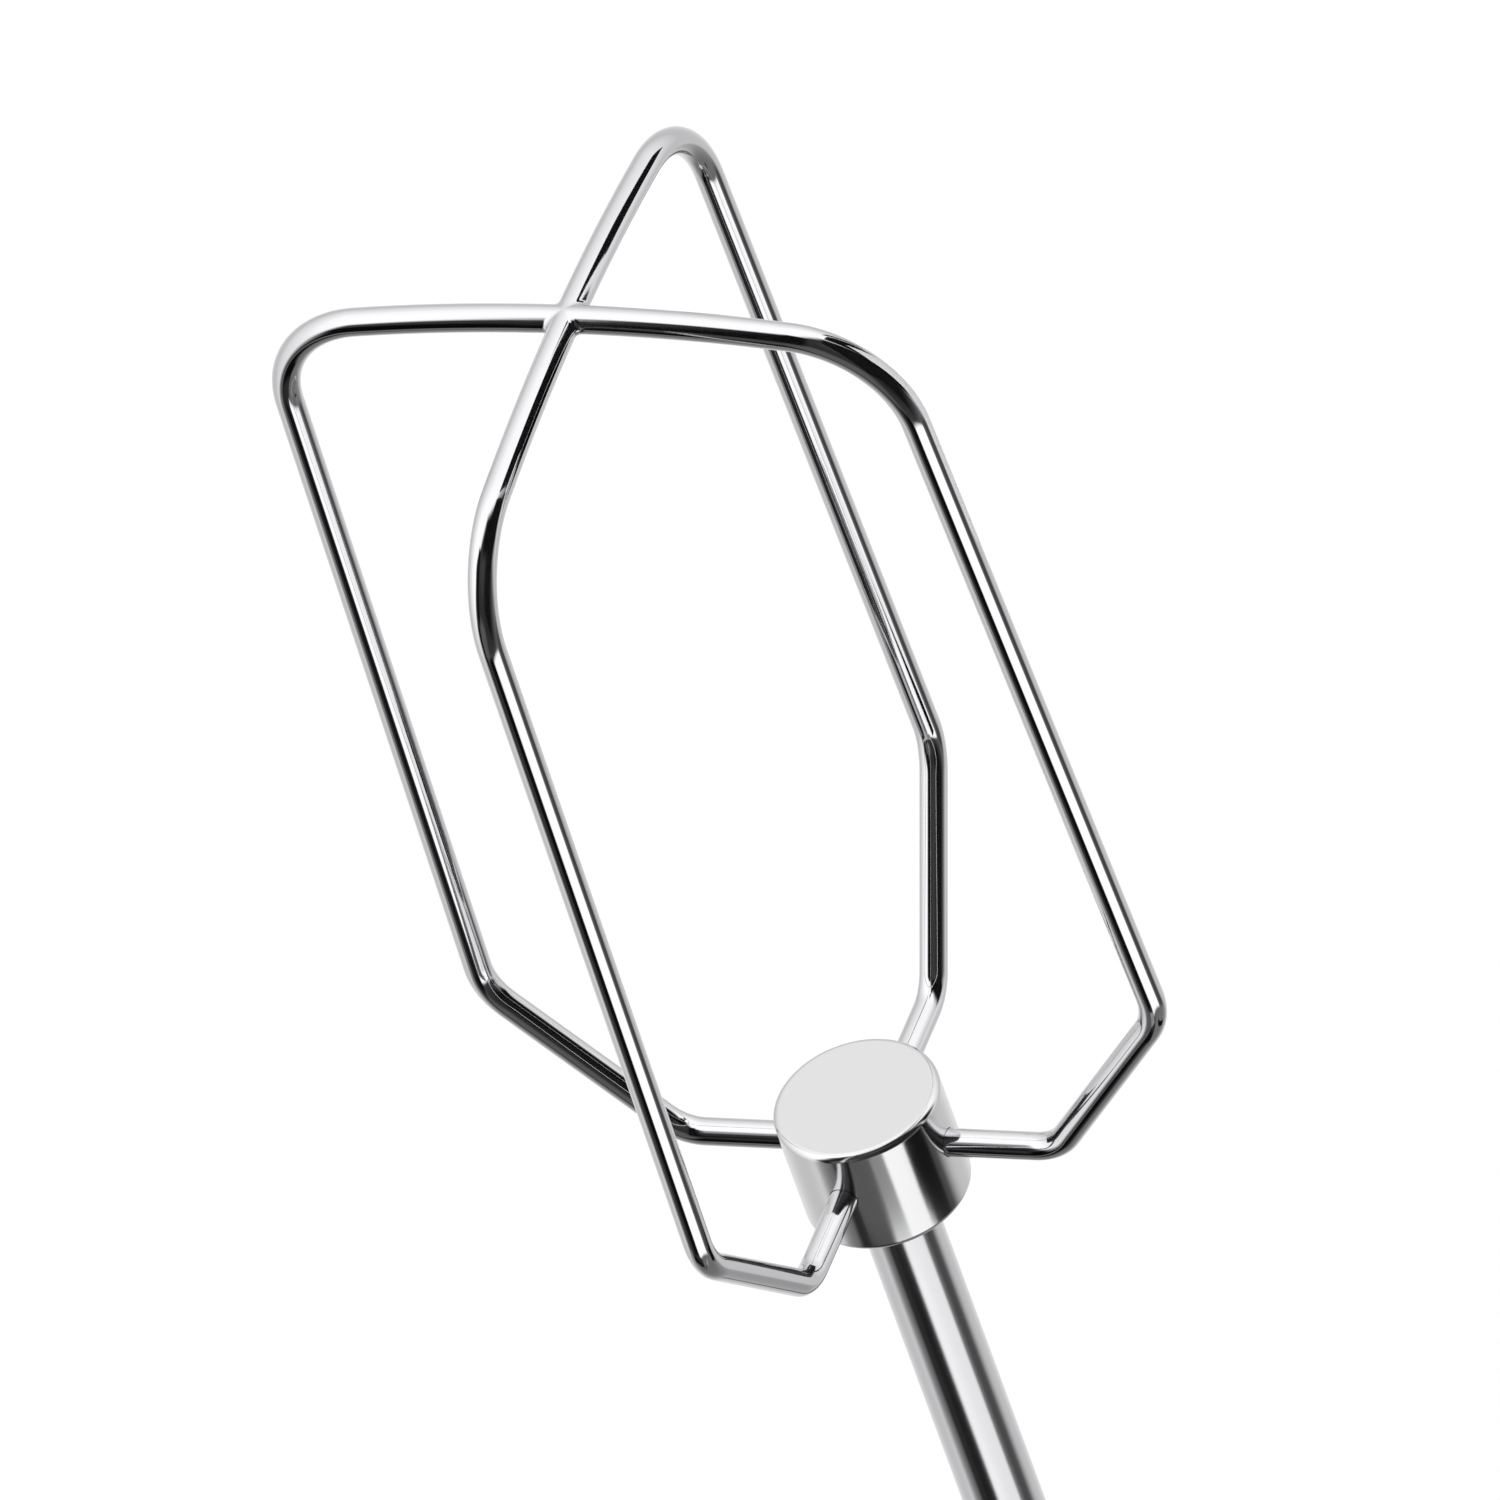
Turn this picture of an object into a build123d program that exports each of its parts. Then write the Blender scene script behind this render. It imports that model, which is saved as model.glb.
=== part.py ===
from build123d import *
import math
import os

# Wire beater of a hand mixer: a steel shaft pressed into a turned hub, and two bent wire loops
# that cross at the tip of the cage and end in the hub's side.
#
# Frame: Z is the shaft's axis and points from the drive end to the tip of the cage. The origin
# is on that axis, in the mouth plane of the mixer's socket: the part of the shaft below it goes
# into the socket. Loop A lies in the XZ plane, and loop B in the YZ plane.

# ---- Driving dimensions, in millimetres and degrees ----

# Stock sizes
wire_dia = 2.0
shaft_dia = 5.5
hub_dia = 12.0

# Shaft, from its nose up
socket_depth = 19.0          # nose to the mouth plane of the socket
nose_length = 1.4            # tapered nose that finds the socket
nose_taper = 30.0            # slope of the nose against the axis
groove_from_nose = 6.0       # nose to the lower edge of the latch groove
groove_width = 2.0           # at the shaft's surface
groove_depth = 0.5           # 45 degree flanks, flat bottom
waist_start = 0.5            # mouth plane to the lower end of the pressed waist
waist_length = 6.0           # whole length of the waist, with its slopes
waist_depth = 0.25           # 45 degree slopes at both ends
wing_length = 5.0            # along the shaft
wing_reach = 1.45            # each wing beyond the shaft's surface
wing_thickness = 1.4
wing_lead = 1.0              # chamfer at each outer corner of a wing
shaft_reach = 76.0           # mouth plane to the hub's lower face

# Hub
hub_height = 9.2
hub_edge = 0.5               # rounding of both rims
hub_cap = 2.2                # metal above the end of the shaft
seat_wall = 0.65             # metal between the shaft's bore and each wire end
arm_height = 5.1             # hub's lower face to the wire's centreline at the arms

# Wire loops, all sizes to the wire's centreline
arm_reach = 14.2             # axis to the corner where the arm turns up
shoulder_reach = 25.5        # axis to the corner where the side begins
shoulder_height = 13.5       # arms to that corner
side_lean = 2.1              # lean of the sides towards the axis
cage_height = 79.25          # arms to the crossing at the tip
arm_bend = 3.5               # bend radius between arm and shoulder
shoulder_bend = 5.3          # bend radius between shoulder and side
tip_bend = 8.2               # bend radius between side and tip
tip_arch = 134.0             # radius of the shallow arch over the tip

# Weld at the crossing
weld_reach = 0.9             # beyond the flank of a wire
weld_thickness = 1.0

# ---- Sizes that follow ----

wire_r = wire_dia / 2
shaft_r = shaft_dia / 2
hub_r = hub_dia / 2
shaft_seat = hub_height - hub_cap
wire_end_r = shaft_r + seat_wall
arm_z = shaft_reach + arm_height
tip_z = arm_z + cage_height


def bend_program():
    """Straights, bend radii and turns of half a loop, as a wire bender is set.

    Starts at the wire's end in the hub, heading away from the axis, and stops where the tip
    bend meets the arch. Returns the steps and half the angle of the arch."""
    shoulder_slope = math.degrees(math.atan2(shoulder_height, shoulder_reach - arm_reach))
    side_slope = 90 + side_lean
    shoulder_run = math.hypot(shoulder_height, shoulder_reach - arm_reach)

    # A bend uses up some of the straight on both sides of its corner.
    arm_trim = arm_bend * math.tan(math.radians(shoulder_slope / 2))
    shoulder_trim = shoulder_bend * math.tan(math.radians((side_slope - shoulder_slope) / 2))

    # The tip bend touches the side and, from inside, the arch: its centre is on a line beside
    # the side, at the distance of one bend radius, and that far inside the arch's circle.
    lean = math.radians(side_lean)
    line_x = shoulder_reach - tip_bend * math.cos(lean)
    line_z = shoulder_height - tip_bend * math.sin(lean) - (cage_height - tip_arch)
    half = line_z * math.cos(lean) - line_x * math.sin(lean)
    rest = line_x ** 2 + line_z ** 2 - (tip_arch - tip_bend) ** 2
    side_run = math.sqrt(half ** 2 - rest) - half
    centre_x = line_x - side_run * math.sin(lean)
    centre_z = line_z + side_run * math.cos(lean)
    arch_half = math.degrees(math.atan2(centre_x, centre_z))

    steps = [
        (arm_reach - wire_end_r - arm_trim, arm_bend, shoulder_slope),
        (shoulder_run - arm_trim - shoulder_trim, shoulder_bend, side_slope - shoulder_slope),
        (side_run - shoulder_trim, tip_bend, 180 - arch_half - side_slope),
    ]
    return steps, arch_half


def loop_path():
    """Centreline of loop A, from its end in the hub at +X over the tip to its end at -X."""
    steps, arch_half = bend_program()
    moves = []
    for length, radius, turn in steps:
        moves += [("straight", length, 0), ("bend", radius, turn)]
    moves.append(("bend", tip_arch, 2 * arch_half))
    for length, radius, turn in reversed(steps):
        moves += [("bend", radius, turn), ("straight", length, 0)]

    point, heading, edges = Vector(wire_end_r, arm_z), 0.0, []
    for kind, size, turn in moves:
        direction = Vector(1, 0).rotate(Axis.Z, heading)
        if kind == "straight":
            edges.append(Line(point, point + direction * size))
        else:
            edges.append(JernArc(point, direction, size, turn))
        point, heading = edges[-1] @ 1, heading + turn
    return Plane.XZ * Wire(edges)


def make_loop():
    """One whole loop in the XZ plane, before it is halved at the crossing."""
    path = loop_path()
    section = Plane(origin=path @ 0, z_dir=path % 0) * Circle(wire_r)
    return sweep(section, path=path)


def make_shaft():
    """Turned rod with a tapered nose and a latch groove, and two wings pressed out of a waist."""
    nose_z = -socket_depth
    nose_r = shaft_r - nose_length * math.tan(math.radians(nose_taper))
    outline = [(0, nose_z), (nose_r, nose_z), (shaft_r, nose_z + nose_length)]
    for start, width, depth in (
        (nose_z + groove_from_nose, groove_width, groove_depth),
        (waist_start, waist_length, waist_depth),
    ):
        outline += [
            (shaft_r, start),
            (shaft_r - depth, start + depth),
            (shaft_r - depth, start + width - depth),
            (shaft_r, start + width),
        ]
    end_z = shaft_reach + shaft_seat
    outline += [(shaft_r, end_z), (0, end_z)]
    rod = revolve(Plane.XZ * make_face(Polyline(outline, close=True)), Axis.Z)

    # Two half-round dies press the waist, and its metal stands up between them as two wings.
    wing_z = waist_start + waist_length / 2
    wing_span = shaft_dia + 2 * wing_reach
    plate = Plane.XZ * Pos(0, wing_z) * Rectangle(wing_span, wing_length)
    plate = chamfer(plate.vertices(), wing_lead)
    return rod + extrude(plate, wing_thickness / 2, both=True)


def make_hub():
    """Turned slug with a blind bore for the shaft and four radial holes for the wire ends."""
    slug = Pos(0, 0, shaft_reach + hub_height / 2) * Cylinder(hub_r, hub_height)
    slug = fillet(slug.edges().filter_by(GeomType.CIRCLE), hub_edge)
    slug -= Pos(0, 0, shaft_reach + shaft_seat / 2) * Cylinder(shaft_r, shaft_seat)
    hole = Pos(wire_end_r + hub_r, 0, arm_z) * Rot(0, 90, 0) * Cylinder(wire_r, hub_dia)
    for quarter in range(4):
        slug -= Rot(0, 0, 90 * quarter) * hole
    return slug


def halving_notch(side):
    """Room for the other wire in half a wire's height: side 1 cuts from above, -1 from below."""
    return Pos(0, 0, tip_z + side * wire_dia / 2) * Box(wire_dia, 2 * wire_dia, wire_dia)


whole_loop_a = make_loop()
whole_loop_b = Rot(0, 0, 90) * whole_loop_a

# Weld metal in the four corners between the wires
tip_weld = Pos(0, 0, tip_z) * Cylinder(wire_r + weld_reach, weld_thickness)
tip_weld = tip_weld - whole_loop_a - whole_loop_b

nodes = {
    "shaft": make_shaft(),
    "hub": make_hub(),
    "loop_wire_a": whole_loop_a - halving_notch(-1),
    "loop_wire_b": whole_loop_b - Rot(0, 0, 90) * halving_notch(1),
    "tip_weld": tip_weld,
}

os.makedirs("parts", exist_ok=True)
for name, shape in nodes.items():
    shape.label = name
    export_step(shape, f"parts/{name}.step")
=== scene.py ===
# %% [markdown]
# # The wire beater of a hand mixer
#
# A beater is the part of a hand mixer that goes into the bowl. A steel shaft plugs into the
# mixer, a turned hub sits on its other end, and two bent wires cross at the tip and make an
# open cage. Everything on it is bright, polished stainless steel.
#
# Polished steel has almost no colour of its own: it shows its surroundings. So half of the work
# below is clean, exact shapes, and the other half is a studio that is worth reflecting.
#
# The CAD model already fixes every size and place. It is loaded first, as the frame, and all
# that is built here lies exactly on it.

# %% Load the frame
import math
import bmesh
import bpy
import numpy as np
from mathutils import Matrix, Vector


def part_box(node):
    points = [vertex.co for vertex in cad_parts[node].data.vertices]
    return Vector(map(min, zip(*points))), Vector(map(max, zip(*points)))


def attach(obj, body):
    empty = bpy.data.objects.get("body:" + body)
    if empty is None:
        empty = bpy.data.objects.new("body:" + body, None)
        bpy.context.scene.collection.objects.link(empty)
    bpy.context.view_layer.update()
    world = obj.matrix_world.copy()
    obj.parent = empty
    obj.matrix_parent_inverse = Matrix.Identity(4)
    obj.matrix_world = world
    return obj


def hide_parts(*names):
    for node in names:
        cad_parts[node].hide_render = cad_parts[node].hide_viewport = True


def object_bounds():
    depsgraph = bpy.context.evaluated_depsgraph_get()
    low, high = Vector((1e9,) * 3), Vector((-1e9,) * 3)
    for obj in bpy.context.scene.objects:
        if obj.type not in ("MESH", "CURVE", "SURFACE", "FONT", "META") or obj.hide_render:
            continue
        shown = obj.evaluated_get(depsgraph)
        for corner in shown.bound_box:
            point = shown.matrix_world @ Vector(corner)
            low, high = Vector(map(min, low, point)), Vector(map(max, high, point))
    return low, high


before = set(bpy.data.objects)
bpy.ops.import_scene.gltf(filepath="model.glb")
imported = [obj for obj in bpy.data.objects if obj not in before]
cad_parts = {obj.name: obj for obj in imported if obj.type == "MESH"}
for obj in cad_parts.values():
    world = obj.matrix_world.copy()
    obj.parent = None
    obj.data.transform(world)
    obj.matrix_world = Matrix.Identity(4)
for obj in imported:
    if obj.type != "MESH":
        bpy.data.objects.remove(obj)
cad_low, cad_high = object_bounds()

scene = bpy.context.scene
print("CAD nodes:", sorted(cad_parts))

# %% [markdown]
# ## Sizes
#
# Whatever can be read off the CAD nodes' boxes is read from there, so it always agrees. The
# shaft's wings hide its diameter, and bend radii and small edges can't be read off a box. They
# are named in millimetres, as a maker would write them on the drawing, next to the piece that
# they shape. Blender works in metres, and MM turns one into the other.

# %% Sizes from the frame
MM = 0.001

hub_low, hub_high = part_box("hub")
loop_low, loop_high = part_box("loop_wire_a")
shaft_low, shaft_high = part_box("shaft")

wire_r = loop_high.y
hub_r = hub_high.x
shaft_r = 2.75 * MM
arm_z = loop_low.z + wire_r
tip_z = loop_high.z - wire_r
cage_height = tip_z - arm_z
print(f"wire {2 * wire_r / MM:.2f} mm, shaft {2 * shaft_r / MM:.2f} mm, hub {2 * hub_r / MM:.2f} mm")
print(f"arms at {arm_z / MM:.2f} mm, crossing at {tip_z / MM:.2f} mm")

# %% [markdown]
# ## Camera
#
# A long lens from far away shows an object almost without perspective, which is how a small
# part is shown in a catalogue. The camera is set by the point it looks at, its distance,
# two angles round the object, and a roll that leans the picture. Three unit vectors, to its
# right, up and towards the viewer, make its rotation matrix, and they are used again below to
# set up the studio.

# %% Camera
aim = Vector((-8.625, 16.363, 102.467)) * MM
camera_distance = 2463.66 * MM
view_azimuth = math.radians(32.45)
view_elevation = math.radians(40.788)
view_roll = math.radians(-20.266)
lens_mm = 851.3

towards = Vector((
    math.sin(view_azimuth) * math.cos(view_elevation),
    -math.cos(view_azimuth) * math.cos(view_elevation),
    math.sin(view_elevation),
))
level_right = Vector((0, 0, 1)).cross(towards).normalized()
level_up = towards.cross(level_right)
right = level_right * math.cos(view_roll) + level_up * math.sin(view_roll)
up = towards.cross(right)

camera = bpy.data.objects.new("camera", bpy.data.cameras.new("camera"))
scene.collection.objects.link(camera)
camera.data.sensor_width = 36
camera.data.lens = lens_mm
turn = Matrix((right, up, towards)).transposed()
camera.matrix_world = Matrix.Translation(aim + towards * camera_distance) @ turn.to_4x4()
scene.camera = camera
print("camera at", [round(v / MM, 1) for v in camera.matrix_world.translation], "mm")

# %% [markdown]
# ## One helper for nodes
#
# Materials, the world and geometry trees are all made of nodes with settings, inputs and links.
# One small function adds a node of any kind. An input may be given a plain value, another node
# (its first active output is linked) or an exact output socket.

# %% Add a node
def add_node(tree, kind, inputs=None, **settings):
    """Adds a node to a tree, with its settings, and fills or links its inputs."""
    node = tree.nodes.new(kind)
    for name, value in settings.items():
        setattr(node, name, value)
    for key, value in (inputs or {}).items():
        if isinstance(key, str):
            socket = next(s for s in node.inputs if s.enabled and s.name == key)
        else:
            socket = node.inputs[key]
        if isinstance(value, bpy.types.Node):
            value = next(s for s in value.outputs if s.enabled)
        if isinstance(value, bpy.types.NodeSocket):
            tree.links.new(value, socket)
        else:
            socket.default_value = value
    return node


def linear(hex_colour):
    """An sRGB hex colour as the linear RGBA that shaders work with."""
    channels = [int(hex_colour[i:i + 2], 16) / 255 for i in (1, 3, 5)]
    return (*(c / 12.92 if c <= 0.04045 else ((c + 0.055) / 1.055) ** 2.4 for c in channels), 1)


print("mid grey in linear light:", round(linear("#808080")[0], 3))

# %% [markdown]
# ## The studio
#
# Polished steel is lit with what stands round it: a white sweep that wraps round the back, the
# left and the top, and a dark room behind the camera. Long dark cards along the
# edge of the white draw the thin black lines that make steel look like steel, and one narrow
# white card below gives the bright stripe on everything upright.
#
# Real cards could be planes with emission, but they would stand in the way of other views. Here
# the world itself is painted, by direction. Each direction is given as on a chrome ball seen
# from the camera: how many degrees it is away from the camera's own direction, and which way
# round. Laid flat, that gives two coordinates, across and above, in degrees, and the cards are
# placed in them. The directions are fixed in space, so the studio stays put when the view moves.
#
# Only reflections see the painted studio. The camera and the matt floor see an even, soft white.

# %% Directions on the chrome ball
world = bpy.data.worlds.new("studio")
scene.world = world
world.use_nodes = True
sky = world.node_tree
sky.nodes.clear()

direction = add_node(sky, "ShaderNodeTexCoord").outputs["Generated"]
parts = [
    add_node(sky, "ShaderNodeVectorMath", {0: direction, 1: axis}, operation="DOT_PRODUCT")
    for axis in (right, up, towards)
]
sideways, upwards, facing = (node.outputs["Value"] for node in parts)
angle_rad = add_node(sky, "ShaderNodeMath", {0: facing}, operation="ARCCOSINE")
angle = add_node(sky, "ShaderNodeMath", {0: angle_rad, 1: 180 / math.pi}, operation="MULTIPLY")
clock_rad = add_node(sky, "ShaderNodeMath", {0: upwards, 1: sideways}, operation="ARCTAN2")
clock_turns = add_node(sky, "ShaderNodeMath", {0: clock_rad, 1: 0.5 / math.pi}, operation="MULTIPLY")
clock = add_node(sky, "ShaderNodeMath", {0: clock_turns}, operation="FRACT")
across_unit = add_node(sky, "ShaderNodeMath", {0: clock_rad}, operation="COSINE")
above_unit = add_node(sky, "ShaderNodeMath", {0: clock_rad}, operation="SINE")
across = add_node(sky, "ShaderNodeMath", {0: across_unit, 1: angle}, operation="MULTIPLY")
above = add_node(sky, "ShaderNodeMath", {0: above_unit, 1: angle}, operation="MULTIPLY")
ball = add_node(sky, "ShaderNodeCombineXYZ", {0: across, 1: above})
print("towards the camera:", [round(v, 3) for v in towards])

# %% [markdown]
# The white sweep and the dark room meet along one closed edge round the camera. Two curves give
# that edge, as an angle from the camera for each direction round the clock: where the white
# begins, and where it is full. Where they lie close together the edge is crisp, and where they
# are far apart it is a soft fall-off.

# %% The edge between the dark room and the white sweep
# degrees round the clock from the right, where white begins, where white is full
edge_points = [
    (0, 68, 120), (8, 68, 114), (20, 74, 106), (33, 66, 98), (45, 54, 86), (57, 42, 68),
    (70, 33, 58), (86, 29, 50), (110, 25, 42), (132, 24, 36), (150, 26, 36), (160, 34, 46),
    (175, 44, 52), (190, 46, 56), (200, 52, 63), (208, 59, 77), (215, 68, 88), (222, 80, 97),
    (230, 88, 106), (236, 92, 130), (242, 94, 160), (250, 98, 176), (265, 120, 179),
    (340, 100, 176), (350, 84, 142), (360, 68, 120),
]


def edge_curve(column):
    """Angle from the camera, in degrees, for every direction round the clock."""
    node = add_node(sky, "ShaderNodeFloatCurve", {"Value": clock})
    points = node.mapping.curves[0].points
    while len(points) < len(edge_points):
        points.new(0.5, 0.5)
    for point, row in zip(points, edge_points):
        point.location = (row[0] / 360, row[column] / 180)
        point.handle_type = "AUTO_CLAMPED"
    node.mapping.update()
    return add_node(sky, "ShaderNodeMath", {0: node, 1: 180}, operation="MULTIPLY")


white_begins, white_is_full = edge_curve(1), edge_curve(2)
in_the_white = add_node(
    sky, "ShaderNodeMapRange",
    {"Value": angle, "From Min": white_begins, "From Max": white_is_full},
    interpolation_type="SMOOTHSTEP",
)
nearest = min(row[1] for row in edge_points)
print("the white begins", nearest, "degrees from the camera where it comes nearest")

# %% [markdown]
# Both sides change slowly with the angle from the camera. A colour ramp holds each of them. The
# levels are what polished steel should show there, so in the end the whole studio is divided by
# the share of light that the steel reflects.

# %% Brightness of the sweep and of the room
steel_reflects = 0.70


def ramp(levels):
    """Level by angle from the camera, in degrees, for levels given as grey hex colours."""
    at = add_node(sky, "ShaderNodeMath", {0: angle, 1: 180}, operation="DIVIDE")
    node = add_node(sky, "ShaderNodeValToRGB", {"Fac": at})
    stops = node.color_ramp.elements
    while len(stops) < len(levels):
        stops.new(0.5)
    for stop, (degrees, grey) in zip(stops, levels):
        stop.position = degrees / 180
        stop.color = linear(grey)
    return node


sweep = ramp([(20, "#F8F8F8"), (60, "#FFFFFF"), (78, "#F8F8F8"), (90, "#E8E8E8"),
              (106, "#D8D8D8"), (126, "#BABABA"), (140, "#BCBCBC"), (158, "#CCCCCC")])
room = ramp([(0, "#3C3C3C"), (24, "#2C2C2C"), (50, "#282828"), (70, "#343434"), (84, "#5A5A5A"),
             (100, "#6A6A6A"), (130, "#6C6C6C"), (148, "#9A9A9A"), (165, "#C0C0C0")])
studio = add_node(sky, "ShaderNodeMix", {"Factor": in_the_white, "A": room, "B": sweep},
                  data_type="RGBA")
print("steel reflects", steel_reflects, "of the light")

# %% [markdown]
# Cards are soft-edged rectangles laid over that, one after another. Each has a place, half its
# size and its turn on the chrome ball, in degrees, the width of its soft edge, and its level.

# %% Cards
def card(under, place, half_size, turn_degrees, soft, level):
    """Lays a card over the studio so far and returns the new studio."""
    local = add_node(
        sky, "ShaderNodeMapping",
        {"Vector": ball, "Location": (*place, 0), "Rotation": (0, 0, math.radians(turn_degrees))},
        vector_type="TEXTURE",
    )
    inside = add_node(sky, "ShaderNodeVectorMath", {0: local}, operation="ABSOLUTE")
    xyz = add_node(sky, "ShaderNodeSeparateXYZ", {0: inside})
    masks = [
        add_node(
            sky, "ShaderNodeMapRange",
            {"Value": xyz.outputs[i], "From Min": half + soft / 2, "From Max": half - soft / 2},
            interpolation_type="SMOOTHSTEP",
        )
        for i, half in enumerate(half_size)
    ]
    mask = add_node(sky, "ShaderNodeMath", {0: masks[0], 1: masks[1]}, operation="MULTIPLY")
    return add_node(sky, "ShaderNodeMix", {"Factor": mask, "A": under, "B": linear(level)},
                    data_type="RGBA")


# name: place, half size, turn, soft edge, level
cards = {
    "grey reflector, lower left": ((-25, -62), (17, 19), -18, 16, "#545454"),
    "black card, right of the middle": ((39, -14), (20, 32), -28, 16, "#101010"),
    "dark card, at the bottom": ((-8, -98), (30, 14), -6, 9, "#2A2A2A"),
    "black card, left": ((-35, -14), (8, 33), -13, 5, "#080808"),
    "black card, lower left": ((-49, -68), (6.5, 22), 17, 5, "#080808"),
    "black card, bottom left": ((-12, -103), (25, 5), -14, 5, "#0A0A0A"),
    "black card, below": ((-6, -83), (14, 6), 15, 5, "#0C0C0C"),
    "black card, upper right": ((42, 24), (46, 16), -3, 12, "#0A0A0A"),
    "dark card, right": ((94, -36), (15, 11), 38, 12, "#404040"),
    "white strip, below": ((43, -68), (34, 6.5), 27, 5, "#FFFFFF"),
}
for values in cards.values():
    studio = card(studio, *values)
print(len(cards), "cards in the studio")

# %% [markdown]
# The Light Path node tells which kind of ray is looking at the world. So one world can show the
# painted studio to reflections, and an even white to the camera and to matt surfaces.

# %% Send the studio to reflections only
even_level = 1.15

shiny = add_node(sky, "ShaderNodeBackground", {"Color": studio, "Strength": 1 / steel_reflects})
even = add_node(sky, "ShaderNodeBackground", {"Color": linear("#FFFFFF"), "Strength": even_level})
ray = add_node(sky, "ShaderNodeLightPath").outputs["Is Glossy Ray"]
either = add_node(sky, "ShaderNodeMixShader", {0: ray, 1: even, 2: shiny})
add_node(sky, "ShaderNodeOutputWorld", {"Surface": either})

# Standard keeps white white; a filmic look would grey the sweep.
scene.view_settings.view_transform = "Standard"
print(len(sky.nodes), "nodes in the studio")

# %% [markdown]
# ## Floor
#
# A large pale plane stands in for the table, just below the lowest point. Being matt and evenly
# lit, it melts into the white background. It is kept out of reflections, where the painted
# studio already holds everything that the steel should show.

# %% Floor
def matt_card(name, colour):
    """Paper or cloth without any gloss."""
    material = bpy.data.materials.new(name)
    material.use_nodes = True
    shader = material.node_tree.nodes["Principled BSDF"]
    shader.inputs["Base Color"].default_value = linear(colour)
    shader.inputs["Roughness"].default_value = 0.9
    shader.inputs["Specular IOR Level"].default_value = 0.0
    return material


# Uncoated white paper spreads all of its light evenly.
white_paper = matt_card("matt white paper", "#F4F4F4")

floor_mesh = bpy.data.meshes.new("floor")
floor_half = 6.0
floor_z = cad_low[2] - 0.2 * MM
floor_mesh.from_pydata(
    [(x * floor_half, y * floor_half, floor_z) for x, y in ((-1, -1), (1, -1), (1, 1), (-1, 1))],
    [], [(0, 1, 2, 3)],
)
floor = bpy.data.objects.new("floor", floor_mesh)
scene.collection.objects.link(floor)
floor.visible_glossy = False

floor_mesh.materials.append(white_paper)
print("floor at", round(floor_z / MM, 2), "mm")

# %% [markdown]
# ## Flags close by
#
# The painted studio is endlessly far away, so two parts that face the same way would show
# exactly the same stripes. Cards close by break that. Each stands in the way of the reflections
# of one part only. One black card and two grey ones shade the hub's side where the shaft is
# white, and three more black ones draw the line along the near and the far half of the arch
# over the tip. A white card shields the right bend from the first of those. They show in
# reflections and nowhere else.

# %% Flags
# Velvet is darker than black paper. The greys are dyed cotton.
velvet = matt_card("black velvet", "#101010")
dark_cotton = matt_card("dark grey cotton", "#646464")
grey_cotton = matt_card("grey cotton", "#9A9A9A")

# name: material, four corners in mm
flags = {
    "flag for the hub": (velvet, ((45, -17.5, 40), (45, 9, 40), (45, 9, 56), (45, -17.5, 56))),
    "scrim for the hub, left": (
        dark_cotton, ((-10, -45, 41), (18, -45, 39.5), (18, -45, 54), (-10, -45, 55))),
    "scrim for the hub, right": (
        grey_cotton, ((18, -45, 39.5), (37, -45, 31.5), (37, -45, 50), (18, -45, 54))),
    "flag for the near arch": (
        velvet, ((29, 2.6, 140), (29, 27, 140), (29, 27, 190), (29, 2.6, 190))),
    "shield beside the right bend": (
        white_paper, ((22.5, 2.4, 138), (28.8, 2.4, 138), (28.8, 2.4, 162), (22.5, 2.4, 162))),
    "flag for the end of the near arch": (
        velvet, ((29, -22, 157), (29, -1.5, 157), (29, -1.5, 192), (29, -22, 192))),
    "flag for the far arch": (
        velvet, ((29, 32, 160), (29, 62, 160), (29, 62, 202), (29, 32, 202))),
}
for name, (material, corners) in flags.items():
    flag_mesh = bpy.data.meshes.new(name)
    flag_mesh.from_pydata([tuple(v * MM for v in corner) for corner in corners],
                          [], [(0, 1, 2, 3)])
    flag_mesh.materials.append(material)
    flag = bpy.data.objects.new(name, flag_mesh)
    scene.collection.objects.link(flag)
    for kind in ("camera", "diffuse", "shadow", "transmission", "volume_scatter"):
        setattr(flag, "visible_" + kind, False)
print(len(flags), "flags")

# %% [markdown]
# ## Finishes
#
# All pieces are stainless steel, polished after they are made. What tells them apart is the
# direction of the faint marks that each process leaves behind.
#
# - Wire is drawn through a die, and the die leaves fine lines along it.
# - The hub is turned on a lathe, so its marks are circles about the axis.
# - The shaft is ground between wheels, which also leaves circles, but much finer ones.
# - The weld is polished by hand, so its marks have no direction.
#
# One function makes a polished steel from a pattern coordinate, in mm. A noise in that
# coordinate moves the roughness a little up and down and gives a very low bump. The base colour
# and the average roughness are plain values. Real marks are some micrometres wide. They are made
# wider here, so that they still show as a faint grain.

# %% Polished steel
def polished_steel(name, colour, roughness, spread, bump_um, pattern, mark_scale):
    """Steel whose marks follow `pattern(tree)`, a coordinate in mm, `mark_scale` marks per mm."""
    material = bpy.data.materials.new(name)
    material.use_nodes = True
    tree = material.node_tree
    shader = tree.nodes["Principled BSDF"]
    shader.inputs["Base Color"].default_value = linear(colour)
    shader.inputs["Metallic"].default_value = 1.0

    stretched = add_node(tree, "ShaderNodeVectorMath", {0: pattern(tree), 1: mark_scale},
                         operation="MULTIPLY")
    marks = add_node(tree, "ShaderNodeTexNoise",
                     {"Vector": stretched, "Scale": 1.0, "Detail": 3.0, "Roughness": 0.6})
    shade = add_node(
        tree, "ShaderNodeMapRange",
        {"Value": marks, "From Min": 0.3, "From Max": 0.7,
         "To Min": roughness - spread, "To Max": roughness + spread},
    )
    bump = add_node(tree, "ShaderNodeBump",
                    {"Height": marks, "Strength": 1.0, "Distance": bump_um * 0.001 * MM})
    tree.links.new(shade.outputs["Result"], shader.inputs["Roughness"])
    tree.links.new(bump.outputs["Normal"], shader.inputs["Normal"])
    print(name, "- roughness", roughness, "+-", spread)
    return material


def along_the_wire(tree):
    """Place in the wire's section and length along it, stored in mm when the wire is made."""
    return add_node(tree, "ShaderNodeAttribute", attribute_name="straight_mm").outputs["Vector"]


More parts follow.
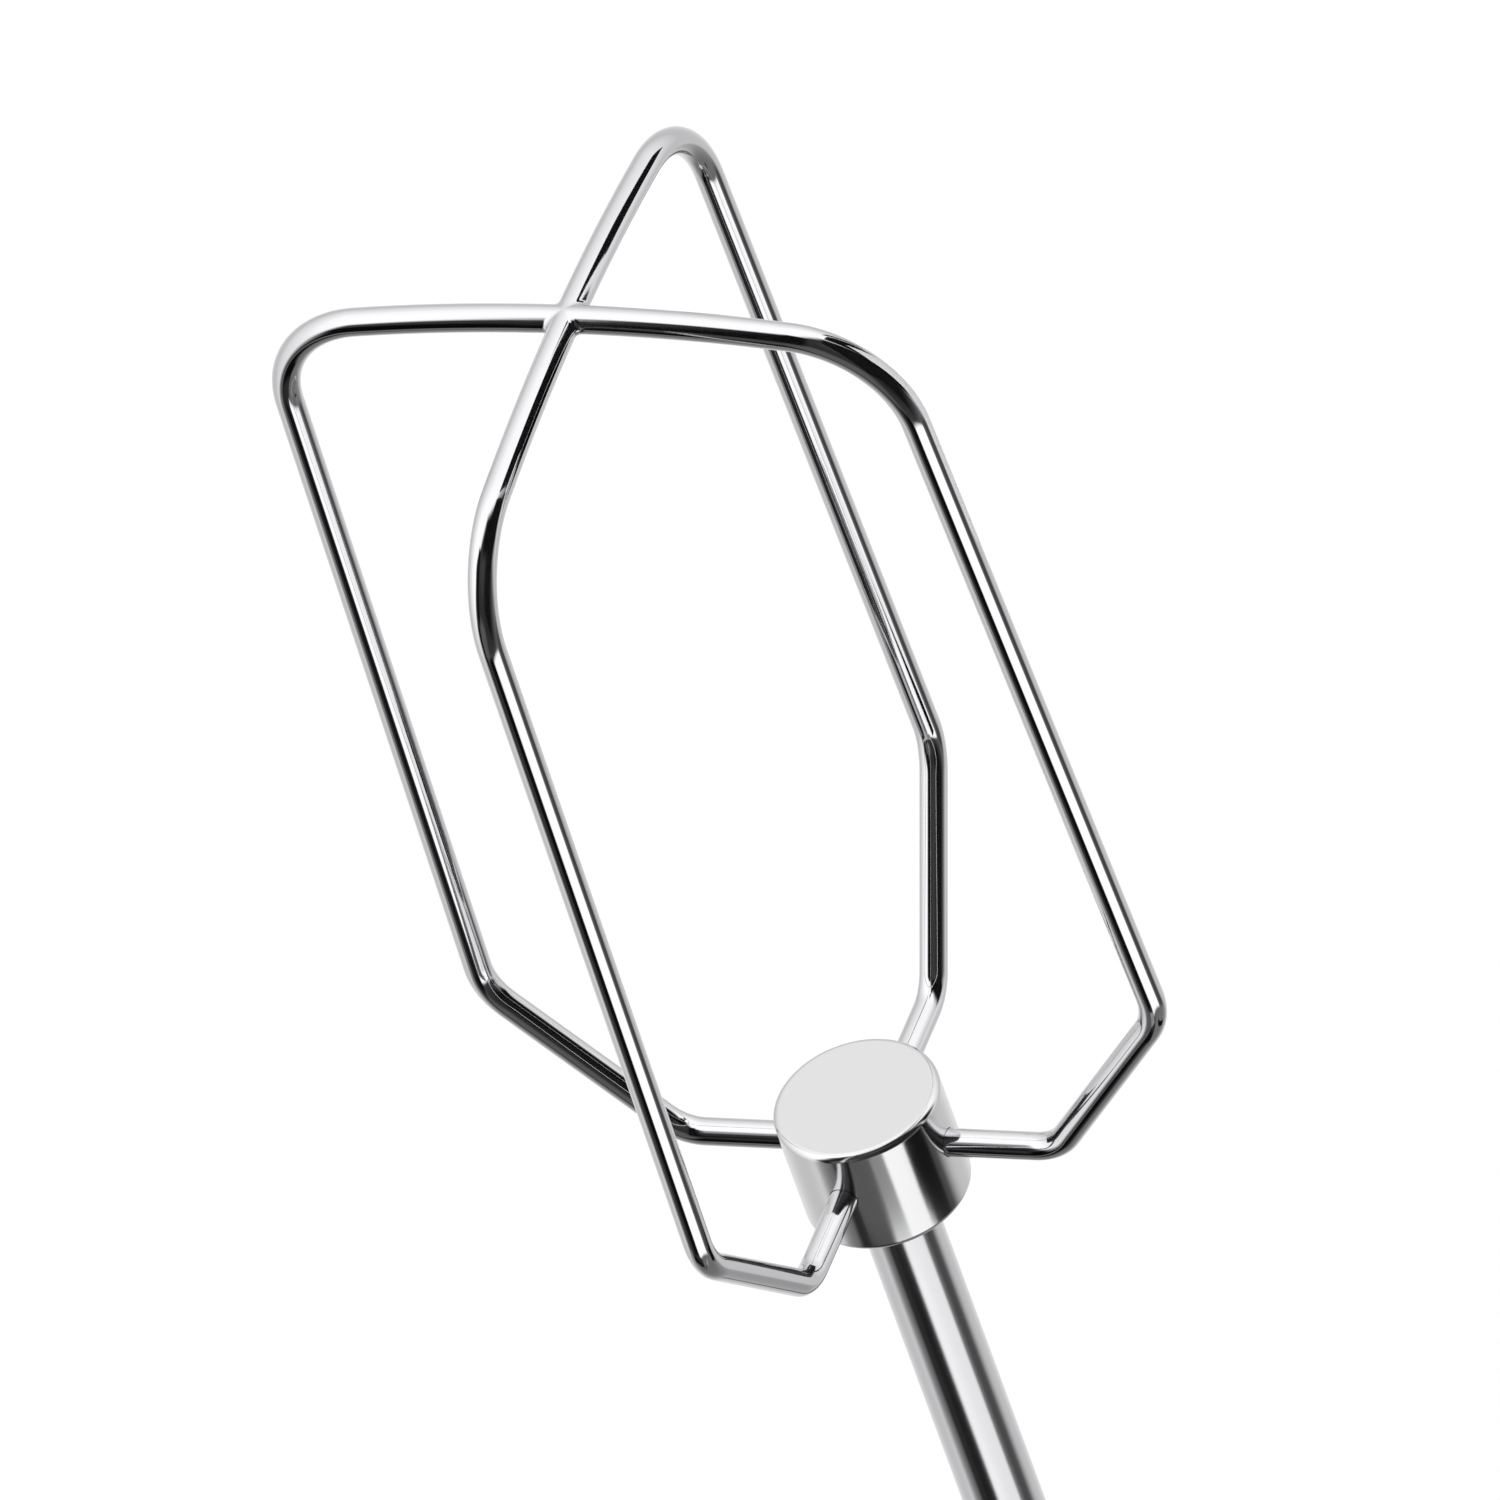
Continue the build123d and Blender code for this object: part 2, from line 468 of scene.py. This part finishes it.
def in_place(tree):
    """The piece's own x, y and z in mm."""
    place = add_node(tree, "ShaderNodeTexCoord").outputs["Object"]
    return add_node(tree, "ShaderNodeVectorMath", {0: place, 1: (1000, 1000, 1000)},
                    operation="MULTIPLY")


def round_the_axis(tree):
    """Distance from the axis and height, in mm: the same all the way round."""
    in_mm = in_place(tree)
    flat = add_node(tree, "ShaderNodeVectorMath", {0: in_mm, 1: (1, 1, 0)}, operation="MULTIPLY")
    reach = add_node(tree, "ShaderNodeVectorMath", {0: flat}, operation="LENGTH")
    height = add_node(tree, "ShaderNodeSeparateXYZ", {0: in_mm}).outputs["Z"]
    return add_node(tree, "ShaderNodeCombineXYZ", {0: reach.outputs["Value"], 1: height})


# Stainless spring wire, bright drawn, bent and electropolished. To the eye it is a clear mirror
# with faint lines along it, 0.15 mm wide and 12 mm long.
wire_steel = polished_steel(
    "bright drawn, electropolished stainless wire", "#DADADC", roughness=0.065, spread=0.012,
    bump_um=0.2, pattern=along_the_wire, mark_scale=(6.5, 6.5, 0.08))
# Resistance weld between the wires, ground flush and buffed. Its mirror is a little softer, with
# dimples 0.6 mm wide.
weld_steel = polished_steel(
    "buffed resistance weld in stainless steel", "#DADADC", roughness=0.08, spread=0.02,
    bump_um=0.5, pattern=in_place, mark_scale=(1.6, 1.6, 1.6))
# Free-cutting stainless bar, turned and polished. Circles 0.12 mm apart blur what it mirrors.
hub_steel = polished_steel(
    "turned and polished stainless steel", "#DCDCDD", roughness=0.14, spread=0.02,
    bump_um=0.25, pattern=round_the_axis, mark_scale=(8.0, 8.0, 0.0))
# Stainless rod, centreless ground and polished. Circles 0.08 mm apart give it a satin look, with
# soft highlights along the rod.
shaft_steel = polished_steel(
    "centreless ground, polished stainless rod", "#DADADC", roughness=0.18, spread=0.02,
    bump_um=0.12, pattern=round_the_axis, mark_scale=(12.0, 12.0, 0.0))

# %% [markdown]
# ## Path of a wire loop
#
# A wire bender knows a part as a list: go straight, then bend by so much with that radius, and
# so on. Half of the loop is such a list, and the other half is the same list backwards, with a
# shallow arch over the tip between them. The last straight isn't given. It follows from the arch
# having to touch the tip bend, which is solved for exactly, as in the CAD model.

# %% Bend list
arm_reach = 14.2 * MM
shoulder_reach = 25.5 * MM
shoulder_height = 13.5 * MM
side_lean = math.radians(2.1)
arm_bend = 3.5 * MM
shoulder_bend = 5.3 * MM
tip_bend = 8.2 * MM
tip_arch = 134.0 * MM
seat_wall = 0.65 * MM
wire_end_r = shaft_r + seat_wall

shoulder_slope = math.atan2(shoulder_height, shoulder_reach - arm_reach)
shoulder_run = math.hypot(shoulder_height, shoulder_reach - arm_reach)
side_slope = math.pi / 2 + side_lean
arm_trim = arm_bend * math.tan(shoulder_slope / 2)
shoulder_trim = shoulder_bend * math.tan((side_slope - shoulder_slope) / 2)

line_x = shoulder_reach - tip_bend * math.cos(side_lean)
line_z = shoulder_height - tip_bend * math.sin(side_lean) - (cage_height - tip_arch)
half = line_z * math.cos(side_lean) - line_x * math.sin(side_lean)
rest = line_x ** 2 + line_z ** 2 - (tip_arch - tip_bend) ** 2
side_run = math.sqrt(half ** 2 - rest) - half
arch_half = math.atan2(line_x - side_run * math.sin(side_lean),
                       line_z + side_run * math.cos(side_lean))

half_loop = [
    (arm_reach - wire_end_r - arm_trim, arm_bend, shoulder_slope),
    (shoulder_run - arm_trim - shoulder_trim, shoulder_bend, side_slope - shoulder_slope),
    (side_run - shoulder_trim, tip_bend, math.pi - arch_half - side_slope),
]
moves = []
for length, radius, bend in half_loop:
    moves += [(length, 0, 0), (0, radius, bend)]
moves.append((0, tip_arch, 2 * arch_half))
for length, radius, bend in reversed(half_loop):
    moves += [(0, radius, bend), (length, 0, 0)]
wire_length = sum(length + radius * bend for length, radius, bend in moves)
print(f"{len(moves)} moves use {wire_length / MM:.1f} mm of wire")

# %% [markdown]
# The list is now walked in short steps. Each move starts where the last one stopped, facing the
# way it left. In a bend a step turns by an equal share of the angle, and its chord is a little
# shorter than the arc, so points stay exactly on the circle.

# %% Walk the list
step_length = 0.4 * MM
path = [Vector((wire_end_r, 0.0, arm_z))]
heading = 0.0
for length, radius, bend in moves:
    count = max(2, math.ceil((length + radius * bend) / step_length))
    chord = 2 * radius * math.sin(bend / count / 2) if bend else length / count
    for _ in range(count):
        heading += bend / count / 2
        path.append(path[-1] + Vector((math.cos(heading), 0, math.sin(heading))) * chord)
        heading += bend / count / 2
print(len(path), "points, end at", [round(v / MM, 3) for v in path[-1]], "mm")

# %% [markdown]
# ## Wire from a path
#
# A wire is one round section carried along a path. Geometry Nodes does that with Curve to Mesh,
# which keeps the section square to the path and closes the ends. The tree is built once and used
# for both loops, with the path, the radius and the steel as its inputs.
#
# It also stores each point's place in the section and its distance along the wire. The drawn
# lines of the steel use that, so that they follow every bend.
#
# At the tip the two wires are fused together, and a separate piece makes that joint. Inside it
# both wires are a little thinner, so that only the joint shows. An attribute on the path says
# how much thinner.

# %% Geometry tree for wire
wire_tree = bpy.data.node_groups.new("wire along a path", "GeometryNodeTree")
for name, kind in (("Path", "NodeSocketGeometry"), ("Wire radius", "NodeSocketFloat"),
                   ("Sides", "NodeSocketInt"), ("Steel", "NodeSocketMaterial")):
    wire_tree.interface.new_socket(name, in_out="INPUT", socket_type=kind)
wire_tree.interface.new_socket("Wire", in_out="OUTPUT", socket_type="NodeSocketGeometry")

given = add_node(wire_tree, "NodeGroupInput").outputs
line = add_node(wire_tree, "GeometryNodeMeshToCurve", {"Mesh": given["Path"]})
distance = add_node(wire_tree, "GeometryNodeSplineParameter").outputs["Length"]
measured = add_node(wire_tree, "GeometryNodeStoreNamedAttribute",
                    {"Geometry": line, "Name": "distance", "Value": distance},
                    data_type="FLOAT", domain="POINT")
section = add_node(wire_tree, "GeometryNodeCurvePrimitiveCircle",
                   {"Resolution": given["Sides"], "Radius": given["Wire radius"]})
place = add_node(wire_tree, "GeometryNodeInputPosition")
marked = add_node(wire_tree, "GeometryNodeStoreNamedAttribute",
                  {"Geometry": section, "Name": "section", "Value": place},
                  data_type="FLOAT_VECTOR", domain="POINT")
thinner = add_node(wire_tree, "GeometryNodeInputNamedAttribute", {"Name": "thinner"},
                   data_type="FLOAT")
tube = add_node(wire_tree, "GeometryNodeCurveToMesh",
                {"Curve": measured, "Profile Curve": marked, "Scale": thinner,
                 "Fill Caps": True})
in_section = add_node(wire_tree, "GeometryNodeInputNamedAttribute", {"Name": "section"},
                      data_type="FLOAT_VECTOR")
how_far = add_node(wire_tree, "GeometryNodeInputNamedAttribute", {"Name": "distance"},
                   data_type="FLOAT")
section_xyz = add_node(wire_tree, "ShaderNodeSeparateXYZ", {0: in_section})
straight = add_node(wire_tree, "ShaderNodeCombineXYZ",
                    {0: section_xyz.outputs["X"], 1: section_xyz.outputs["Y"], 2: how_far})
straight_mm = add_node(wire_tree, "ShaderNodeVectorMath", {0: straight, 1: (1000, 1000, 1000)},
                       operation="MULTIPLY")
stored = add_node(wire_tree, "GeometryNodeStoreNamedAttribute",
                  {"Geometry": tube, "Name": "straight_mm", "Value": straight_mm},
                  data_type="FLOAT_VECTOR", domain="POINT")
smooth = add_node(wire_tree, "GeometryNodeSetShadeSmooth", {"Geometry": stored})
real = add_node(wire_tree, "GeometryNodeRealizeInstances", {"Geometry": smooth})
painted = add_node(wire_tree, "GeometryNodeSetMaterial",
                   {"Geometry": real, "Material": given["Steel"]})
add_node(wire_tree, "NodeGroupOutput", {"Wire": painted})
print(len(wire_tree.nodes), "nodes in the wire tree")

# %% [markdown]
# The tree is put on an object that holds only the path, as a modifier. The result is then kept
# as a plain mesh, and the modifier goes.

# %% Make a loop
joint_reach = 3.5 * MM
thin_reach = joint_reach - 1.0 * MM
thin_share = 0.93
wire_sides = 64
# The joint's skin has the full radius, so the wires stay a touch below it.
under_the_skin = 0.0015 * MM


def make_wire(name, points, material):
    """A closed wire along a path, thinner inside the joint at the tip."""
    path_mesh = bpy.data.meshes.new(name + " path")
    path_mesh.from_pydata(points, [(i, i + 1) for i in range(len(points) - 1)], [])
    slim = path_mesh.attributes.new("thinner", "FLOAT", "POINT")
    crossing = Vector((0, 0, tip_z))
    for i, point in enumerate(points):
        slim.data[i].value = 1.0 if (point - crossing).length > thin_reach else thin_share

    wire = bpy.data.objects.new(name, path_mesh)
    scene.collection.objects.link(wire)
    modifier = wire.modifiers.new("wire", "NODES")
    modifier.node_group = wire_tree
    values = {"Wire radius": wire_r - under_the_skin, "Sides": wire_sides, "Steel": material}
    for item in wire_tree.interface.items_tree:
        if item.in_out == "INPUT" and item.name in values:
            modifier[item.identifier] = values[item.name]
    seen = wire.evaluated_get(bpy.context.evaluated_depsgraph_get())
    made = bpy.data.meshes.new_from_object(seen)
    wire.modifiers.clear()
    wire.data = made
    made.name = name
    return wire


loop_a = make_wire("loop_a", path, wire_steel)
loop_b = make_wire("loop_b", [Vector((0, p.x, p.z)) for p in path], wire_steel)
for loop in (loop_a, loop_b):
    print(loop.name, len(loop.data.polygons), "faces")

# %% [markdown]
# ## Joint at the tip
#
# Two crossing wires of one level can't be welded without metal flowing into the corners between
# them. The shape to make is two arched rods, fused into one skin, with a small round fillet in
# each of the four corners and none on top, where the two surfaces already run together.
#
# Rather than sculpt that, it can be described by distance. For each rod it is easy to say how far
# a point is outside its skin. The smaller of both distances describes the two rods fused, and a
# smooth version of that smaller value rounds the corners. The mesh starts as four plain sleeves
# that meet on the diagonals, and every point is then moved along the slope of that distance
# until it lies on the skin.

# %% Skin of two fused rods
joint_fillet = 0.55 * MM
# Enough steps for the points to settle on the skin, each a bit shorter than the distance.
skin_steps = 30
skin_share = 0.8


def fused_skin(points):
    """Moves points onto the fused skin of the two arched rods. Rows of x, y, z, in metres."""
    points = points.copy()
    for _ in range(skin_steps):
        low = points[:, 2] - (tip_z - tip_arch)
        rods = []
        for along, aside in ((0, 1), (1, 0)):
            radial = np.hypot(points[:, along], low)
            outside = np.hypot(radial - tip_arch, points[:, aside])
            slope = np.zeros_like(points)
            slope[:, along] = (radial - tip_arch) * points[:, along] / radial
            slope[:, 2] = (radial - tip_arch) * low / radial
            slope[:, aside] = points[:, aside]
            rods.append((outside - wire_r, slope / outside[:, None]))
        (first, first_slope), (second, second_slope) = rods
        differ = 1 - (first_slope * second_slope).sum(axis=1)
        blend = np.maximum(joint_fillet * differ, 1e-9)
        share = np.clip(0.5 + (second - first) / (2 * blend), 0, 1)
        skin = second + (first - second) * share - blend * share * (1 - share)
        slope = first_slope * share[:, None] + second_slope * (1 - share[:, None])
        slope /= np.linalg.norm(slope, axis=1)[:, None]
        points -= skin_share * skin[:, None] * slope
    return points


above_the_crossing = np.array([[0.0, 0.0, tip_z + 2 * wire_r]])
print("skin above the crossing at", round(fused_skin(above_the_crossing)[0, 2] / MM, 2), "mm")

# %% [markdown]
# Each of the four sleeves starts on the diagonals between the wires, where it meets its two
# neighbours. Its rings stand closest together there, because the fillet needs them most. The
# points that neighbours share are then merged, which leaves one closed skin with four flat ends
# inside the wires.

# %% Mesh of the joint
joint_sides = 96
joint_rings = 26
ring_crowding = 1.5
sleeves, faces = [], []
for arm in range(4):
    for ring in range(joint_rings + 1):
        share = (ring / joint_rings) ** ring_crowding
        for side in range(joint_sides):
            around = 2 * math.pi * side / joint_sides
            aside, lift = wire_r * math.cos(around), wire_r * math.sin(around)
            out = abs(aside) + share * (joint_reach - abs(aside))
            drop = tip_arch - math.sqrt(tip_arch ** 2 - out ** 2)
            x, y = (out, aside) if arm % 2 == 0 else (-aside, out)
            if arm > 1:
                x, y = -x, -y
            sleeves.append((x, y, tip_z + lift - drop))
    first = arm * (joint_rings + 1) * joint_sides
    for ring in range(joint_rings):
        for side in range(joint_sides):
            a = first + ring * joint_sides + side
            b = first + ring * joint_sides + (side + 1) % joint_sides
            faces.append((a, a + joint_sides, b + joint_sides, b))
    faces.append([first + joint_rings * joint_sides + side for side in range(joint_sides)])

joint_mesh = bpy.data.meshes.new("tip_joint")
joint_mesh.from_pydata(fused_skin(np.array(sleeves)).tolist(), [], faces)
shape = bmesh.new()
shape.from_mesh(joint_mesh)
bmesh.ops.remove_doubles(shape, verts=shape.verts, dist=0.002 * MM)
bmesh.ops.dissolve_degenerate(shape, edges=shape.edges, dist=0.0005 * MM)
bmesh.ops.recalc_face_normals(shape, faces=shape.faces)
print("open edges in the joint:", sum(1 for edge in shape.edges if not edge.is_manifold))
shape.to_mesh(joint_mesh)
shape.free()
joint_mesh.materials.append(weld_steel)
joint_mesh.shade_smooth()
joint_mesh.set_sharp_from_angle(angle=math.radians(50))
tip_joint = bpy.data.objects.new("tip_joint", joint_mesh)
scene.collection.objects.link(tip_joint)

# %% [markdown]
# ## Turned pieces
#
# Hub and shaft are turned on a lathe: one outline, spun about the axis. The outline is a list of
# corners from bottom to top, each with its distance from the axis, its height and a rounding.
# Polished metal never has a truly sharp corner, and the round edge catches a thin line of light,
# so every corner gets a small arc. Next to each arc an extra ring holds the flat beside it flat.

# %% Lathe
def outline_with_rounds(corners, arc_steps=7, hold=0.03 * MM):
    """Outline as (distance, height) points for corners given as (distance, height, rounding)."""
    points = []
    for i, (reach, height, rounding) in enumerate(corners):
        here = Vector((reach, height))
        if not rounding:
            points.append(here)
            continue
        before = (Vector(corners[i - 1][:2]) - here).normalized()
        after = (Vector(corners[i + 1][:2]) - here).normalized()
        opening = before.angle(after)
        trim = rounding / math.tan(opening / 2)
        centre = here + (before + after).normalized() * rounding / math.sin(opening / 2)
        start, stop = here + before * trim, here + after * trim
        arm = start - centre
        swing = arm.angle_signed(stop - centre)
        points.append(start + before * hold)
        for step in range(arc_steps + 1):
            # Points spread evenly over the arc, seen from its centre.
            turned = -swing * step / arc_steps
            points.append(centre + Vector((
                arm.x * math.cos(turned) - arm.y * math.sin(turned),
                arm.x * math.sin(turned) + arm.y * math.cos(turned),
            )))
        points.append(stop + after * hold)
    return points


def lathe(name, outline, sides):
    """Spins an outline that starts and stops on the axis into a closed mesh."""
    mesh_points, faces, rings = [], [], []
    for reach, height in outline:
        if reach < 1e-9:
            rings.append([len(mesh_points)])
            mesh_points.append((0, 0, height))
            continue
        rings.append(list(range(len(mesh_points), len(mesh_points) + sides)))
        for side in range(sides):
            around = 2 * math.pi * side / sides
            mesh_points.append((reach * math.cos(around), reach * math.sin(around), height))
    for lower, upper in zip(rings, rings[1:]):
        for side in range(sides):
            after = (side + 1) % sides
            a, b = lower[side % len(lower)], lower[after % len(lower)]
            c, d = upper[after % len(upper)], upper[side % len(upper)]
            faces.append(tuple(dict.fromkeys((a, b, c, d))))
    mesh = bpy.data.meshes.new(name)
    mesh.from_pydata(mesh_points, [], faces)
    mesh.shade_smooth()
    turned = bpy.data.objects.new(name, mesh)
    scene.collection.objects.link(turned)
    return turned


def combine(target, tools, operation, material):
    """Adds or cuts closed meshes with exact Booleans. The result has one material."""
    for tool in tools:
        modifier = target.modifiers.new(operation.lower(), "BOOLEAN")
        modifier.operation = operation
        modifier.solver = "EXACT"
        modifier.object = tool
    seen = target.evaluated_get(bpy.context.evaluated_depsgraph_get())
    made = bpy.data.meshes.new_from_object(seen)
    target.modifiers.clear()
    made.name = target.name
    made.materials.clear()
    made.materials.append(material)
    target.data = made
    for tool in tools:
        bpy.data.objects.remove(tool)


# %% [markdown]
# ## Hub
#
# A short round bar with both rims rounded, bored from below for the shaft and from four sides
# for the wire ends. The outline runs up inside the bore first, then over the outside. The four
# side bores are cut with a Boolean and are a hair wider than the wire, which leaves the fine
# dark ring that shows where one piece of metal ends and the next begins.
#
# After a Boolean, the triangles round each hole would tilt the shading of the side. The side is
# a plain cylinder, so the true normal is known everywhere on it: straight out from the axis. It
# is set by hand for all faces that lie on the cylinder.

# %% Hub
hub_edge = 0.5 * MM
hub_cap = 2.2 * MM
hair = 0.04 * MM
mouth_height, mouth_width = 0.25 * MM, 0.28 * MM
bore_top = hub_high.z - hub_cap
side_height = hub_high.z - hub_low.z - 2 * hub_edge

hub_outline = outline_with_rounds([
    (0, bore_top, 0),
    (shaft_r + hair, bore_top, 0),
    (shaft_r + hair, hub_low.z + mouth_height, 0),
    (shaft_r + mouth_width, hub_low.z, 0),
    (hub_r, hub_low.z, hub_edge),
    (hub_r, hub_high.z, hub_edge),
    (0, hub_high.z, 0),
])
# A few plain rings on the side and the top keep the faces there small and even.
side_rings = [Vector((hub_r, hub_low.z + hub_edge + share * side_height))
              for share in (0.15, 0.3, 0.45, 0.6, 0.75, 0.9)]
top_start = max(i for i, p in enumerate(hub_outline) if abs(p.x - hub_r) < 1e-9) - 1
hub_outline[top_start:top_start] = side_rings
hub_outline[-1:-1] = [Vector((reach * MM, hub_high.z)) for reach in (5.0, 3.6, 2.2, 0.9)]
hub = lathe("hub_turned", hub_outline, 192)
print(len(hub_outline), "points in the hub's outline")


def rod(name, direction, start, stop, radius, sides=96):
    """A plain closed rod along X or Y at arm height, used to cut the wire bores."""
    made = lathe(name, [Vector((0, start)), Vector((radius, start)),
                        Vector((radius, stop)), Vector((0, stop))], sides)
    place = direction.to_track_quat("Z", "Y").to_matrix().to_4x4()
    made.data.transform(Matrix.Translation((0, 0, arm_z)) @ place)
    return made


bores = [rod("bore", Vector(d), wire_end_r - hair, hub_r + 1 * MM, wire_r + hair)
         for d in ((1, 0, 0), (-1, 0, 0), (0, 1, 0), (0, -1, 0))]
combine(hub, bores, "DIFFERENCE", hub_steel)


def true_side_normals(mesh, radius, lowest, highest):
    """Sharp edges from 35 degrees, and radial normals on the cylinder between two heights."""
    mesh.shade_smooth()
    mesh.set_sharp_from_angle(angle=math.radians(35))
    normals = [(0, 0, 0)] * len(mesh.loops)
    for face in mesh.polygons:
        corners = [mesh.vertices[i].co for i in face.vertices]
        if all(abs(math.hypot(c.x, c.y) - radius) < 0.02 * MM and lowest < c.z < highest
               for c in corners):
            for loop_index, c in zip(face.loop_indices, corners):
                normals[loop_index] = Vector((c.x, c.y, 0)).normalized()
    mesh.normals_split_custom_set(normals)
    print(mesh.name, len(mesh.polygons), "faces,", sum(1 for n in normals if any(n)), "set normals")


true_side_normals(hub.data, hub_r, hub_low.z + 0.9 * hub_edge, hub_high.z - 0.9 * hub_edge)

# %% [markdown]
# ## Shaft
#
# A ground rod. Its drive end has a tapered nose, a groove for the mixer's latch, and a waist that
# is pressed in. The metal pressed out of the waist stands up as two wings, which carry the
# torque. They are a flat bar with chamfered corners, put across the shaft and fused with it.

# %% Shaft
nose_length = 1.4 * MM
nose_taper = math.radians(30)
groove_low, groove_high, groove_depth = -13.0 * MM, -11.0 * MM, 0.5 * MM
waist_low, waist_high, waist_depth = 0.5 * MM, 6.5 * MM, 0.25 * MM
nose_r = shaft_r - nose_length * math.tan(nose_taper)
shaft_top = bore_top - hair

# distance from the axis, height, rounding
shaft_outline = outline_with_rounds([
    (0, shaft_low.z, 0),
    (nose_r, shaft_low.z, 0.25 * MM),
    (shaft_r, shaft_low.z + nose_length, 0.4 * MM),
    (shaft_r, groove_low, 0.08 * MM),
    (shaft_r - groove_depth, groove_low + groove_depth, 0.1 * MM),
    (shaft_r - groove_depth, groove_high - groove_depth, 0.1 * MM),
    (shaft_r, groove_high, 0.08 * MM),
    (shaft_r, waist_low, 0.15 * MM),
    (shaft_r - waist_depth, waist_low + waist_depth, 0.15 * MM),
    (shaft_r - waist_depth, waist_high - waist_depth, 0.15 * MM),
    (shaft_r, waist_high, 0.15 * MM),
    (shaft_r, shaft_top, 0.1 * MM),
    (0, shaft_top, 0),
])
shaft = lathe("shaft_rod", shaft_outline, 128)
print(len(shaft_outline), "points in the shaft's outline")

wing_low, wing_high = 1.0 * MM, 6.0 * MM
wing_lead = 1.0 * MM
wing_thickness = 1.4 * MM
wing_round = 0.2 * MM
half_span = (shaft_high.x - shaft_low.x) / 2
wing_edge = [
    (-half_span, wing_low + wing_lead), (-half_span + wing_lead, wing_low),
    (half_span - wing_lead, wing_low), (half_span, wing_low + wing_lead),
    (half_span, wing_high - wing_lead), (half_span - wing_lead, wing_high),
    (-half_span + wing_lead, wing_high), (-half_span, wing_high - wing_lead),
]
bar = bmesh.new()
flat = bar.faces.new([bar.verts.new((x, -wing_thickness / 2, z)) for x, z in wing_edge])
pushed = bmesh.ops.extrude_face_region(bar, geom=[flat])
bmesh.ops.translate(bar, vec=(0, wing_thickness, 0),
                    verts=[v for v in pushed["geom"] if isinstance(v, bmesh.types.BMVert)])
bmesh.ops.recalc_face_normals(bar, faces=bar.faces)
bmesh.ops.bevel(bar, geom=bar.edges, offset=wing_round, segments=4, affect="EDGES", profile=0.5)
wing_mesh = bpy.data.meshes.new("wings")
bar.to_mesh(wing_mesh)
bar.free()
wings = bpy.data.objects.new("wings", wing_mesh)
scene.collection.objects.link(wings)
combine(shaft, [wings], "UNION", shaft_steel)
true_side_normals(shaft.data, shaft_r, waist_high + 0.1 * MM, bore_top)

# %% [markdown]
# ## Hand over to the frame
#
# Every piece rides on the one body of the CAD model and is paired with one of its nodes. That
# node is hidden, so the plain CAD meshes no longer show. The CAD model's box is printed at the end.

# %% Pieces, nodes and slots
for piece, node, slot in (
    (loop_a, "loop_wire_a", "wire_steel"),
    (loop_b, "loop_wire_b", "wire_steel"),
    (tip_joint, "tip_weld", "weld_steel"),
    (hub, "hub", "hub_steel"),
    (shaft, "shaft", "shaft_steel"),
):
    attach(piece, "root")
    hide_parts(node)

print("CAD box", [round(v / MM, 2) for v in (*cad_low, *cad_high)], "mm")
